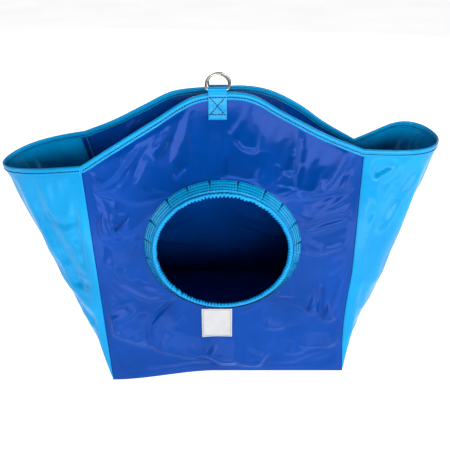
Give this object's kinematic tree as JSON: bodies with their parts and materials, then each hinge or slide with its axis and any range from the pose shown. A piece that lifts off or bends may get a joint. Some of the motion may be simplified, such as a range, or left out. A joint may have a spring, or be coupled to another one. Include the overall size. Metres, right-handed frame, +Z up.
{
  "type": "hay feeder bag",
  "caption": "Hanging bag of glossy coated sheet with splayed side gussets, a bound rim with a raised middle, a round collared feeding hole and D-rings on folded tabs.",
  "frame": {"origin": "middle of the base panel's underside, on the surface that the bag stands on", "axes": "+X to the right seen from the front, along the longest side; +Y from the front panel to the back panel; +Z up"},
  "size_m": [0.7207, 0.311, 0.5307],
  "materials": {
    "blue_sheet": "glossy royal-blue coated sheet, softly creased",
    "sky_sheet": "glossy sky-blue coated sheet, softly creased",
    "nickel": "warm nickel plate, slightly worn",
    "white_label": "matte white woven patch",
    "navy_thread": "matte dark navy sewing thread"
  },
  "bodies": {
    "bag": {"front_panel": "blue_sheet", "back_panel": "blue_sheet", "left_gusset": "sky_sheet", "right_gusset": "sky_sheet", "base_panel": "blue_sheet", "rim_binding": "sky_sheet", "hole_collar": "sky_sheet", "front_tab": "sky_sheet", "back_tab": "sky_sheet", "lower_rear_tab": "sky_sheet", "label_patch": "white_label"},
    "front_ring": {"front_d_ring": "nickel"},
    "back_ring": {"back_d_ring": "nickel"},
    "lower_rear_ring": {"lower_rear_d_ring": "nickel"}
  },
  "joints": [
    {"name": "front_ring_swing", "type": "hinge", "parent": "bag", "child": "front_ring", "pos_m": [-0.011, -0.02758, 0.51228], "axis": [1, 0, 0], "range_deg": [0, 190]},
    {"name": "back_ring_swing", "type": "hinge", "parent": "bag", "child": "back_ring", "pos_m": [-0.009, 0.01552, 0.5026], "axis": [-1, 0, 0], "range_deg": [0, 164]},
    {"name": "lower_rear_ring_swing", "type": "hinge", "parent": "bag", "child": "lower_rear_ring", "pos_m": [-0.01709, 0.12446, 0.12672], "axis": [1, 0, 0], "range_deg": [0, 150]}
  ]
}
